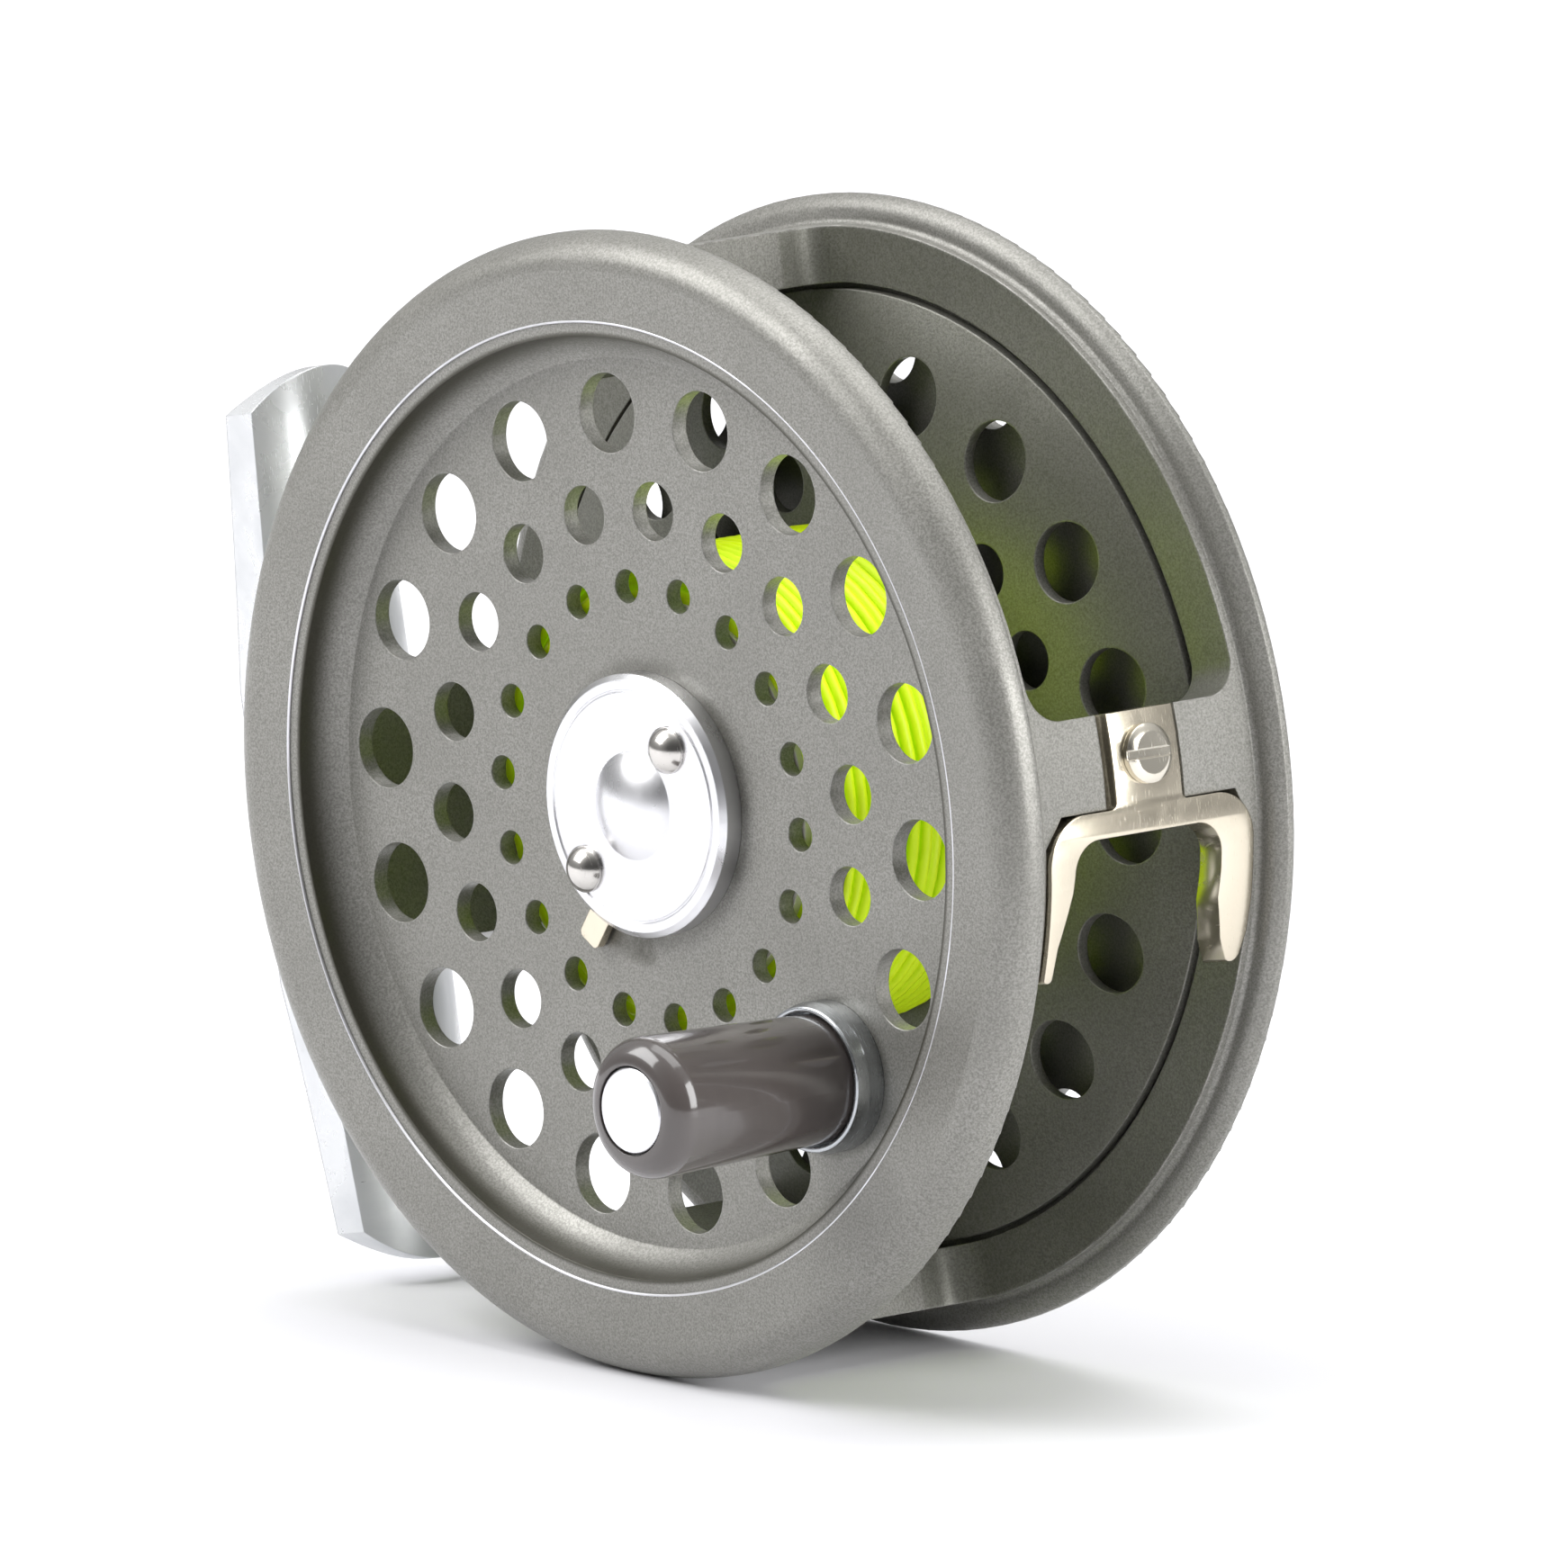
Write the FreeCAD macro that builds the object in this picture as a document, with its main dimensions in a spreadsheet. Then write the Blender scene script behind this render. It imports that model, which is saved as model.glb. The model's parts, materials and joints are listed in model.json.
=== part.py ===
import FreeCAD, Part
import math
import os
import re
import Sketcher
from FreeCAD import Placement, Rotation, Vector

# Fly reel. Every piece is drawn about the spindle: Y runs along it, towards the back, and Y = 0 is
# the flat front face of the spool. The foot points to -X. Each Placement then leans and lifts it.

SIZES = {
    "where the reel stands": {
        "axisX": 5.7585,
        "axisY": -5.225,
        "axisHeight": 46.0,
        "lean": 11.5,
    },
    "frame": {
        "rimRadius": 46.0,
        "wallOuter": 43.5,
        "wallInner": 38.9,
        "ringFront": 0.2,
        "ringBack": 2.2,
        "plateFront": 24.4,
        "recessFloor": 25.4,
        "beadFront": 25.1,
        "beadRadius": 45.85,
        "plateBack": 27.2,
        "bossRadius": 16.5,
        "bossBack": 28.5,
        "windowCorner": 3.0,
        "ventRing": 34.0,
        "ventRadius": 3.0,
        "ventPhase": -2.5,
    },
    "line guard": {
        "guardAngle": -0.7,
        "guardOuter": 44.0,
        "guardInner": 41.5,
        "guardMiddle": 13.15,
        "guardScrewRadius": 1.3,
        "guardThickness": 1.6,
    },
    "foot": {
        "footLength": 72.6,
        "footRise": 0.8,
        "saddleRadius": 7.8,
        "saddleBottom": 48.25,
        "footThickness": 1.8,
        "footMiddle": 13.0,
        "footHalfWidth": 7.4,
        "footEndHalfWidth": 6.35,
        "endArchRadius": 8.6,
        "endArchHalfWidth": 8.0,
        "pedestalHalfLength": 11.0,
        "footScrewSpread": 6.1,
        "footScrewRadius": 1.5,
    },
    "spindle and bush": {
        "spindleRadius": 2.38,
        "bushBore": 2.41,
        "bushRadius": 3.2,
        "bushFlange": 3.9,
        "spoolBore": 3.22,
    },
    "spool": {
        "plateThickness": 1.5,
        "faceRadius": 35.75,
        "lipInner": 37.85,
        "lipOuter": 39.0,
        "lipHeight": 3.45,
        "flangeRadius": 38.4,
        "arborRadius": 15.5,
        "arborBore": 14.3,
        "flangeRoot": 21.8,
        "flangeEdge": 24.1,
        "flangeBack": 25.0,
        "flangeThickness": 1.3,
        "flangeDish": 64.0,
        "bigHole": 3.23,
        "bigRing": 31.3,
        "middleHole": 2.38,
        "middleRing": 23.6,
        "smallHole": 1.38,
        "smallRing": 17.4,
        "holeStep": 20.0,
        "holePhase": -0.54,
        "lineRadius": 20.0,
        "backingRadius": 16.2,
    },
    "handle": {
        "handleX": 21.1,
        "handleZ": -19.05,
        "knobEnd": 21.75,
        "knobBaseRadius": 5.15,
        "knobRadius": 5.7,
        "knobBore": 1.65,
        "postRadius": 1.6,
        "buttonRadius": 3.45,
    },
    "latch": {
        "coverRadius": 10.6,
        "coverHeight": 2.0,
        "pivotReach": 6.5,
        "pivotAngle": 51.5,
        "lockScrewReach": 8.0,
        "lockScrewAngle": -133.6,
        "latchAngle": -118.0,
        "latchReach": 13.5,
        "latchWidth": 2.3,
    },
    "click check": {
        "gearRadius": 7.0,
        "gearTeeth": 24,
        "toothDepth": 0.9,
        "gearScrewRing": 5.0,
        "gearScrewRadius": 0.6,
        "pawlReach": 10.6,
        "pawlSpread": 32.0,
        "regulatorReach": 10.4,
        "checkFront": 21.2,
        "checkBack": 22.3,
        "studReach": 13.5,
    },
}

doc = FreeCAD.newDocument("FlyReel")
sheet = doc.addObject("Spreadsheet::Sheet", "dims")
nodes = []


def fillSheet():
    row = 1
    for heading, group in SIZES.items():
        sheet.set("A%d" % row, heading)
        row += 1
        for alias, number in group.items():
            sheet.set("A%d" % row, alias)
            sheet.set("B%d" % row, str(number))
            sheet.setAlias("B%d" % row, alias)
            row += 1
    doc.recompute()


# ---- small helpers ----

def bound(text):
    """An expression with the sheet's name in front of each of its aliases."""
    return re.sub(r"[A-Za-z_]\w*", lambda word: named(word.group()), text)


def named(word):
    known = any(word in group for group in SIZES.values())
    return "dims." + word if known else word


def size(text):
    """The number that an expression of the sheet's aliases comes to."""
    return float(sheet.evalExpression(bound(str(text)).replace("dims.", "")))


def bind(thing, target, text):
    if re.search("[A-Za-z]", str(text)):
        thing.setExpression(target, bound(text))


def originFeature(body, role):
    return [one for one in body.Origin.OriginFeatures if one.Role == role][0]


def newSketch(body, name, plane, offset):
    sketch = body.newObject("Sketcher::SketchObject", name)
    sketch.AttachmentSupport = (originFeature(body, plane), [""])
    sketch.MapMode = "FlatFace"
    if offset:
        sketch.AttachmentOffset = offset
    return sketch


def pinPoint(sketch, geometry, end, texts):
    for kind, text in zip(("DistanceX", "DistanceY"), texts):
        index = sketch.addConstraint(Sketcher.Constraint(kind, -1, 1, geometry, end, size(text)))
        name = "%s%d_%d" % (kind, geometry, end)
        sketch.renameConstraint(index, name)
        bind(sketch, "Constraints." + name, text)


def arcBetween(start, finish, turn, radius):
    """A minor arc; a left turn has its centre on the left of the way from start to finish."""
    chord = finish - start
    half = chord.Length / 2
    side = Vector(-chord.y, chord.x, 0).normalize() * (1 if turn == "left" else -1)
    centre = start + chord * 0.5 + side * math.sqrt(max(radius * radius - half * half, 0.0))
    angles = [math.atan2(end.y - centre.y, end.x - centre.x) for end in (start, finish)]
    if turn == "right":
        angles.reverse()
    return Part.ArcOfCircle(Part.Circle(centre, Vector(0, 0, 1), radius), *angles)


def outline(body, name, plane, corners, offset=None):
    """A closed outline. A corner is (x, y), or (x, y, turn, radius) where an arc leaves it."""
    sketch = newSketch(body, name, plane, offset)
    points = [Vector(size(corner[0]), size(corner[1]), 0) for corner in corners]
    ends = []
    for index, corner in enumerate(corners):
        start = points[index]
        finish = points[(index + 1) % len(points)]
        if len(corner) == 2:
            geometry = sketch.addGeometry(Part.LineSegment(start, finish))
            ends.append((geometry, 1, 2))
            continue
        geometry = sketch.addGeometry(arcBetween(start, finish, corner[2], size(corner[3])))
        ends.append((geometry, 1, 2) if corner[2] == "left" else (geometry, 2, 1))
        radius = sketch.addConstraint(Sketcher.Constraint("Radius", geometry, size(corner[3])))
        sketch.renameConstraint(radius, "Radius%d" % geometry)
        bind(sketch, "Constraints.Radius%d" % geometry, corner[3])
    for index, (geometry, first, last) in enumerate(ends):
        after = ends[(index + 1) % len(ends)]
        sketch.addConstraint(Sketcher.Constraint("Coincident", geometry, last, after[0], after[1]))
        pinPoint(sketch, geometry, first, corners[index][:2])
    return sketch


def circles(body, name, plane, rounds, offset=None):
    """Circles, each given as (x, y, radius)."""
    sketch = newSketch(body, name, plane, offset)
    for x, y, radius in rounds:
        circle = Part.Circle(Vector(size(x), size(y), 0), Vector(0, 0, 1), size(radius))
        geometry = sketch.addGeometry(circle)
        index = sketch.addConstraint(Sketcher.Constraint("Radius", geometry, size(radius)))
        sketch.renameConstraint(index, "Radius%d" % geometry)
        bind(sketch, "Constraints.Radius%d" % geometry, radius)
        pinPoint(sketch, geometry, 3, (x, y))
    return sketch


def polar(reach, angle):
    return "(%s) * cos(%s)" % (reach, angle), "(%s) * sin(%s)" % (reach, angle)


def turnedTo(angle):
    """An offset that turns a sketch about the spindle, from +X towards +Z."""
    return Placement(Vector(), Rotation(Vector(0, 1, 0), -size(angle)))


def newBody(label):
    body = doc.addObject("PartDesign::Body", label)
    body.Label = label
    return body


def turned(label, corners):
    """A body turned about Y from an outline of (radius, Y) corners."""
    body = newBody(label)
    revolution = body.newObject("PartDesign::Revolution", label + "_turning")
    revolution.Profile = outline(body, label + "_outline", "XY_Plane", corners)
    revolution.ReferenceAxis = (revolution.Profile[0], ["V_Axis"])
    revolution.Angle = 360
    body.Tip = revolution
    doc.recompute()
    return body


def extrude(body, kind, sketch, length, bothSides=False, backwards=False):
    feature = body.newObject("PartDesign::" + kind, sketch.Label + "_" + kind)
    feature.Profile = sketch
    feature.Length = size(length)
    bind(feature, "Length", str(length))
    feature.SideType = "Symmetric" if bothSides else "One side"
    feature.Reversed = backwards
    body.Tip = feature
    doc.recompute()
    return feature


def cut(body, sketch, length=None, backwards=False):
    """A pocket that must take something away; with no length it runs right through, both ways."""
    before = body.Shape.Volume
    through = length is None
    feature = extrude(body, "Pocket", sketch, 400 if through else length, through, backwards)
    if body.Shape.Volume > before - 1e-4:
        raise RuntimeError("nothing was cut by " + sketch.Label)
    return feature


def repeat(body, feature, count, angle=360):
    pattern = body.newObject("PartDesign::PolarPattern", feature.Label + "_ring")
    pattern.Originals = [feature]
    pattern.Axis = (originFeature(body, "Y_Axis"), [""])
    pattern.Angle = angle
    pattern.Occurrences = count
    body.Tip = pattern
    doc.recompute()


def roundEdges(body, wanted, radius):
    """Fillets the edges of the body that the test picks out."""
    base = body.Tip
    names = ["Edge%d" % (i + 1) for i, edge in enumerate(base.Shape.Edges) if wanted(edge)]
    fillet = body.newObject("PartDesign::Fillet", body.Label + "_round%d" % len(body.Group))
    fillet.Base = (base, names)
    fillet.Radius = radius
    body.Tip = fillet
    doc.recompute()


def node(thing, onFrame=True, local=None):
    """Stands a finished piece in the reel; pieces on the frame lean with it."""
    lean = Rotation(Vector(0, 1, 0), -size("lean") if onFrame else 0)
    base = Vector(size("axisX"), size("axisY"), size("axisHeight"))
    thing.Placement = Placement(base, lean).multiply(local or Placement())
    nodes.append(thing)


def group(label, things):
    """Separate equal pieces that share one node."""
    compound = doc.addObject("Part::Compound", label)
    compound.Label = label
    compound.Links = things
    doc.recompute()
    return compound


def across(x, y, z, direction):
    """A place for a turned piece whose own Y is to run along the direction."""
    return Placement(Vector(x, y, z), Rotation(Vector(0, 1, 0), Vector(*direction)))


def radial(angle, y, reach):
    """A place on a radius of the reel, for a piece whose own Y runs outwards."""
    out = Vector(math.cos(math.radians(angle)), 0, math.sin(math.radians(angle)))
    return across(out.x * reach, y, out.z * reach, tuple(out))


# ---- the frame and what is fixed to it ----

WINDOWS = ((4.0, 87.0), (121.0, 164.1), (194.5, 239.0), (273.0, 352.0))


def frame():
    body = turned("frame", [
        ("spindleRadius", "recessFloor"),
        ("wallInner", "recessFloor"),
        ("wallInner", "ringFront"),
        ("wallOuter", "ringFront"),
        ("wallOuter", "beadFront", "right", 0.6),
        ("wallOuter + 0.5", "beadFront + 0.3", "left", 2.0),
        ("beadRadius", "beadFront + 1.2"),
        ("beadRadius", "plateBack - 0.5", "left", 0.5),
        ("beadRadius - 0.5", "plateBack"),
        ("bossRadius + 0.7", "plateBack"),
        ("bossRadius", "bossBack"),
        ("spindleRadius", "bossBack"),
    ])
    for number, (start, finish) in enumerate(WINDOWS):
        corners = [("wallInner - 0.4", "ringBack"), ("rimRadius + 1", "ringBack"),
                   ("rimRadius + 1", "plateFront"), ("wallInner - 0.4", "plateFront")]
        place = turnedTo((start + finish) / 2)
        groove = body.newObject("PartDesign::Groove", "window%d" % number)
        groove.Profile = outline(body, "window%d_outline" % number, "XY_Plane", corners, place)
        groove.ReferenceAxis = (groove.Profile[0], ["V_Axis"])
        groove.Angle = finish - start
        groove.Midplane = True
        body.Tip = groove
        doc.recompute()
    thickness = size("wallOuter - wallInner")
    roundEdges(body, lambda edge: isRadial(edge, thickness), size("windowCorner"))
    vents = cut(body, circles(body, "vent", "XZ_Plane", [polar("ventRing", "ventPhase") + ("ventRadius",)]))
    repeat(body, vents, 18)
    posts = [(x, z, 0.8) for x, z in pawlPlaces()]
    posts += [polar("regulatorReach", 90) + (1.24,)]
    posts += [polar("studReach", angle) + (0.45,) for angle in STUD_ANGLES]
    cut(body, circles(body, "post_holes", "XZ_Plane", posts))
    seat = [("guardMiddle - 4.25", -4.2), ("guardMiddle + 4.25", -4.2),
            ("guardMiddle + 4.25", 5.3), ("guardMiddle - 4.25", 5.3)]
    inPillar = turnedSide("guardAngle", "guardOuter - guardThickness - 0.05")
    cut(body, outline(body, "guard_seat", "YZ_Plane", seat, inPillar), 6, backwards=True)
    hole = circles(body, "guard_hole", "YZ_Plane", [("guardMiddle", 0, "guardScrewRadius")], inPillar)
    cut(body, hole, 12)
    step = [("ringBack", -14), ("plateFront", -14), ("plateFront", -6.8), (22.9, -3.95),
            (4.0, -3.95), ("ringBack", -6.3)]
    underArms = turnedSide("guardAngle", "guardInner - 1.0")
    cut(body, outline(body, "guard_step", "YZ_Plane", step, underArms), 6, backwards=True)
    screws = [("footMiddle", side + "footScrewSpread", "footScrewRadius") for side in ("", "-")]
    behind = turnedSide(180, "wallInner")
    cut(body, circles(body, "foot_holes", "YZ_Plane", screws, behind), 14, backwards=True)
    sinks = [("footMiddle", side + "footScrewSpread", 2.75) for side in ("", "-")]
    cut(body, circles(body, "foot_sinks", "YZ_Plane", sinks, behind), 2.8, backwards=True)
    node(body)


def isRadial(edge, length):
    if len(edge.Vertexes) != 2 or abs(edge.Length - length) > 0.3:
        return False
    first, last = [vertex.Point for vertex in edge.Vertexes]
    return abs(first.y - last.y) < 1e-3 and edge.Curve.TypeId == "Part::GeomLine"


def turnedSide(angle, reach):
    """A YZ sketch turned about the spindle to an angle and moved out to a reach."""
    turn = Rotation(Vector(0, 1, 0), -size(angle))
    out = turn.multVec(Vector(size(reach), 0, 0))
    # the plane's own axes are Y, Z and X in turn
    plane = Rotation(Vector(1, 1, 1), 120)
    return Placement(plane.inverted().multVec(out), plane.inverted() * turn * plane)


def guard():
    body = newBody("line_guard")
    legs = [
        (9.6, 11.6), (9.6, 4.6, "right", 0.6),
        (9.0, 4.0), (6.0, 4.0, "left", 3.8),
        (2.3, 0.0), (2.35, -2.0), (2.35, -8.6, "left", 0.45),
        (3.15, -8.6), (3.4, -6.2), (4.7, -2.0), (4.9, -0.6, "right", 2.6),
        (7.5, 1.9), (18.3, 1.9, "right", 2.6),
        (20.8, -0.6), (20.8, -2.0), (20.6, -4.3), (21.3, -7.6), (22.1, -9.2, "left", 0.85),
        (23.6, -9.0), (24.05, -7.4), (24.25, -4.5), (24.25, 0.0, "left", 3.8),
        (20.55, 4.0), (17.3, 4.0, "right", 0.6),
        (16.7, 4.6), (16.7, 11.6),
    ]
    rise = 8.05
    corners = [(y, z - rise) + tuple(rest) for y, z, *rest in legs]
    extrude(body, "Pad", outline(body, "guard_outline", "YZ_Plane", corners), 60)
    cut(body, circles(body, "guard_inside", "XZ_Plane", [(0, 0, "guardInner")]))
    outside = outline(body, "guard_outside", "XZ_Plane", [
        ("guardOuter * cos(25)", "-guardOuter * sin(25)", "left", "guardOuter"),
        ("guardOuter * cos(25)", "guardOuter * sin(25)"),
        (70, "guardOuter * sin(25)"), (70, "-guardOuter * sin(25)")])
    cut(body, outside)
    stem = [(41, -4.0), ("guardOuter - guardThickness", -4.0),
            ("guardOuter - guardThickness", 6), (41, 6)]
    cut(body, outline(body, "guard_back", "XZ_Plane", stem))
    hole = circles(body, "guard_bore", "YZ_Plane", [("guardMiddle", 0, "guardScrewRadius")])
    cut(body, hole)
    node(body, local=turnedTo("guardAngle"))


def slottedScrew(label, head, headHeight, shank, length, slot):
    """Head on the outer side of Y = 0, shank on the inner side, with a slot along its own Z."""
    body = turned(label, [
        (0, -length), (shank, -length), (shank, 0), (head, 0),
        (head, headHeight * 0.6, "left", headHeight * 2.2),
        (head * 0.72, headHeight), (0, headHeight)])
    corners = [(-slot / 2, -head - 1), (slot / 2, -head - 1), (slot / 2, head + 1), (-slot / 2, head + 1)]
    top = Placement(Vector(0, 0, -headHeight - 0.5), Rotation())
    cut(body, outline(body, label + "_slot", "XZ_Plane", corners, top), headHeight * 0.55 + 0.5,
        backwards=True)
    return body


def guardScrew():
    body = slottedScrew("guard_screw", 2.4, 0.9, size("guardScrewRadius"), 5.0, 0.74)
    turn = Placement(Vector(), Rotation(Vector(0, 1, 0), 90))
    out = radial(size("guardAngle"), size("guardMiddle"), size("guardOuter + 0.02"))
    node(body, local=out.multiply(turn))


def foot():
    body = newBody("reel_foot")
    wide = "footHalfWidth"
    deep = "saddleBottom + saddleRadius"
    rise = "sqrt(saddleRadius^2 - footHalfWidth^2)"
    back = "saddleRadius + footThickness + 1.3"
    backRise = "sqrt((%s)^2 - footHalfWidth^2)" % back
    shift = "1.3"
    section = [
        ("-(%s) + %s" % (deep, rise), "footMiddle - " + wide, "left", "saddleRadius"),
        ("-(%s) + %s" % (deep, rise), "footMiddle + " + wide),
        ("-(%s) - %s + %s" % (deep, shift, backRise), "footMiddle + " + wide, "right", back),
        ("-(%s) - %s + %s" % (deep, shift, backRise), "footMiddle - " + wide),
    ]
    middle = Placement(Vector(0, 0, size("footRise")), Rotation())
    profile = outline(body, "foot_section", "XY_Plane", section, middle)
    extrude(body, "Pad", profile, "footLength", bothSides=True)
    pedestal = [("footMiddle - 5.2", "-pedestalHalfLength"), ("footMiddle + 5.2", "-pedestalHalfLength"),
                ("footMiddle + 5.2", "pedestalHalfLength"), ("footMiddle - 5.2", "pedestalHalfLength")]
    under = Placement(Vector(0, 0, size("-(saddleBottom - 0.6)")), Rotation())
    extrude(body, "Pad", outline(body, "pedestal", "YZ_Plane", pedestal, under), 12)
    cut(body, circles(body, "foot_hollow", "XZ_Plane", [(0, 0, "wallOuter + 0.02")]))
    for side, sign in (("front", -1), ("back", 1)):
        edge = "footMiddle + %d * " % sign
        low = "footRise - footLength / 2 - 1"
        high = "footRise + footLength / 2 + 1"
        taper = [(edge + "footHalfWidth", -12), (edge + "footEndHalfWidth", low), (edge + "12", low),
                 (edge + "12", high), (edge + "footEndHalfWidth", high), (edge + "footHalfWidth", 12)]
        if sign < 0:
            taper.reverse()
        cut(body, outline(body, "taper_" + side, "YZ_Plane", taper))
    reach = "footLength / 2 - endArchRadius + sqrt(endArchRadius^2 - endArchHalfWidth^2)"
    for name, sign, turn in (("top", "+", "right"), ("bottom", "-", "left")):
        inside = "footRise %s (%s)" % (sign, reach)
        outside = "footRise %s (footLength / 2 + 1)" % sign
        arch = [("footMiddle - endArchHalfWidth", inside, turn, "endArchRadius"),
                ("footMiddle + endArchHalfWidth", inside),
                ("footMiddle + endArchHalfWidth", outside),
                ("footMiddle - endArchHalfWidth", outside)]
        cut(body, outline(body, "arch_" + name, "YZ_Plane", arch))
    screws = [("footMiddle", side + "footScrewSpread", "footScrewRadius") for side in ("", "-")]
    into = Placement(Vector(0, 0, size("-(saddleBottom - 0.7)")), Rotation())
    cut(body, circles(body, "screw_holes", "YZ_Plane", screws, into), 12, backwards=True)
    node(body)


def footScrews():
    screws = []
    for number, side in enumerate((1, -1)):
        body = turned("foot_screw%d" % (number + 1), [
            (0, 0), (2.7, 0), (2.7, 0.5), ("footScrewRadius", 2.3), ("footScrewRadius", 8.2), (0, 8.2)])
        slot = [(-0.35, -4), (0.35, -4), (0.35, 4), (-0.35, 4)]
        mouth = Placement(Vector(0, 0, 1), Rotation())
        sketch = outline(body, "foot_slot%d" % (number + 1), "XZ_Plane", slot, mouth)
        cut(body, sketch, 1.7)
        spread = side * size("footScrewSpread")
        body.Placement = across(-size("wallInner") - 0.45, size("footMiddle"), spread, (-1, 0, 0))
        screws.append(body)
    node(group("foot_screws", screws))


def spindle():
    body = turned("spindle", [
        (0, -1.1), (1.9, -1.1), (2.3, -0.9), (2.3, -0.75), (1.75, -0.7), (1.75, -0.2),
        ("spindleRadius", 0.1), ("spindleRadius", "recessFloor - 2.05"), (3.6, "recessFloor - 2.05"),
        (3.6, "recessFloor"), ("spindleRadius", "recessFloor"), ("spindleRadius", "bossBack + 1.3"),
        ("spindleRadius - 0.4", "bossBack + 1.7"), (0, "bossBack + 1.7")])
    node(body)


def spindleNut():
    body = turned("spindle_nut", [
        ("spindleRadius", "bossBack + 0.02"), (4.2, "bossBack + 0.02"), (4.2, "bossBack + 0.9", "left", 0.5),
        (3.8, "bossBack + 1.3"), ("spindleRadius", "bossBack + 1.3")])
    for number, turn in enumerate((0, 90)):
        slot = [(-5, -0.4), (5, -0.4), (5, 0.4), (-5, 0.4)]
        back = Placement(Vector(0, 0, -size("bossBack") - 2), Rotation(Vector(0, 0, 1), turn))
        sketch = outline(body, "nut_slot%d" % number, "XZ_Plane", slot, back)
        extrude(body, "Pocket", sketch, 1.3, backwards=True)
    node(body)


# ---- the click check, inside the arbor ----

STUD_ANGLES = (74, 106)


def pawlPlaces():
    return [polar("pawlReach", "90 %s pawlSpread" % sign) for sign in ("+", "-")]


def pawlPosts():
    posts = []
    for number, (x, z) in enumerate(pawlPlaces()):
        body = turned("pawl_post%d" % (number + 1), [
            (0, "checkFront - 0.75"), (1.45, "checkFront - 0.75"),
            (1.45, "checkFront - 0.15"), (0.95, "checkFront - 0.15"),
            (0.95, "checkBack + 0.15"), (1.7, "checkBack + 0.15"),
            (1.7, "recessFloor"), (0.8, "recessFloor"), (0.8, "bossBack"),
            (1.5, "bossBack"), (1.2, "bossBack + 0.5"), (0, "bossBack + 0.5")])
        body.Placement = Placement(Vector(size(x), 0, size(z)), Rotation())
        posts.append(body)
    node(group("pawl_posts", posts))


def pawl(label, place):
    """A click pawl: a round eye on its post, with a wedge that points at the gear."""
    body = newBody(label)
    x, z = [size(text) for text in place]
    reach = size("pawlReach")
    tip = size("pawlReach - gearRadius - 0.35")
    eye = 1.7
    corners = [(-0.15, -tip), (0.15, -tip), (eye, 0, "left", eye), (0, eye, "left", eye), (-eye, 0)]
    back = Placement(Vector(0, 0, -size("checkBack")), Rotation())
    extrude(body, "Pad", outline(body, label + "_outline", "XZ_Plane", corners, back),
            "checkBack - checkFront")
    cut(body, circles(body, label + "_bore", "XZ_Plane", [(0, 0, 0.99)]))
    turn = Rotation(Vector(0, 1, 0), math.degrees(math.atan2(x / reach, z / reach)))
    node(body, local=Placement(Vector(x, 0, z), turn))


def checkSpring():
    """A flat strip bent round the backs of both pawls."""
    body = newBody("check_spring")
    inner = 12.6
    outer = 12.95
    half = 46
    ends = [(polar(reach, angle)) for reach, angle in ((inner, 90 - half), (outer, 90 - half),
                                                       (outer, 90 + half), (inner, 90 + half))]
    corners = [ends[0], ends[1] + ("left", outer), ends[2], ends[3] + ("right", inner)]
    back = Placement(Vector(0, 0, -size("checkBack + 1.2")), Rotation())
    extrude(body, "Pad", outline(body, "spring_outline", "XZ_Plane", corners, back),
            "checkBack - checkFront + 1.0")
    node(body)


def springStuds():
    studs = []
    for number, angle in enumerate(STUD_ANGLES):
        body = turned("spring_stud%d" % (number + 1), [
            (0, "checkFront"), (0.45, "checkFront"), (0.45, "bossBack"),
            (0.8, "bossBack"), (0.6, "bossBack + 0.3"), (0, "bossBack + 0.3")])
        x, z = polar("studReach", angle)
        body.Placement = Placement(Vector(size(x), 0, size(z)), Rotation())
        studs.append(body)
    node(group("spring_studs", studs))


def regulator():
    place = Placement(Vector(0, 0, size("regulatorReach")), Rotation())
    knob = turned("regulator_knob", [
        (0, "checkFront + 0.2"), (1.2, "checkFront + 0.2"), (1.2, "bossBack + 0.3"), (4.4, "bossBack + 0.3"),
        (4.4, "bossBack + 3.2", "left", 0.6), (3.9, "bossBack + 3.7"),
        (2.2, "bossBack + 3.7"), (2.2, "bossBack + 2.9"), (0.7, "bossBack + 2.9"),
        (0.7, "bossBack + 0.6"), (0, "bossBack + 0.6")])
    flute = cut(knob, circles(knob, "flute", "XZ_Plane", [(4.75, 0, 0.6)]))
    repeat(knob, flute, 20)
    node(knob, local=place)
    cam = newBody("regulator_cam")
    behind = Placement(Vector(0, 0, -size("checkBack")), Rotation())
    extrude(cam, "Pad", circles(cam, "cam_outline", "XZ_Plane", [(0.3, 0, 1.75)], behind),
            "checkBack - checkFront - 0.2")
    cut(cam, circles(cam, "cam_bore", "XZ_Plane", [(0, 0, 1.2)]))
    node(cam, local=place)
    screw = slottedScrew("regulator_screw", 1.9, 0.6, 0.7, 2.2, 0.45)
    top = Placement(Vector(0, size("bossBack + 2.9"), 0), Rotation(Vector(0, 1, 0), 25))
    node(screw, local=place.multiply(top))


# ---- the spool and what turns with it ----

def bush():
    body = turned("bearing_bush", [
        ("bushBore", 0.6), ("bushRadius", 0.6), ("bushRadius", 22.45), ("bushFlange", 22.45),
        ("bushFlange", 23.25), ("bushBore", 23.25)])
    node(body, onFrame=False)


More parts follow.
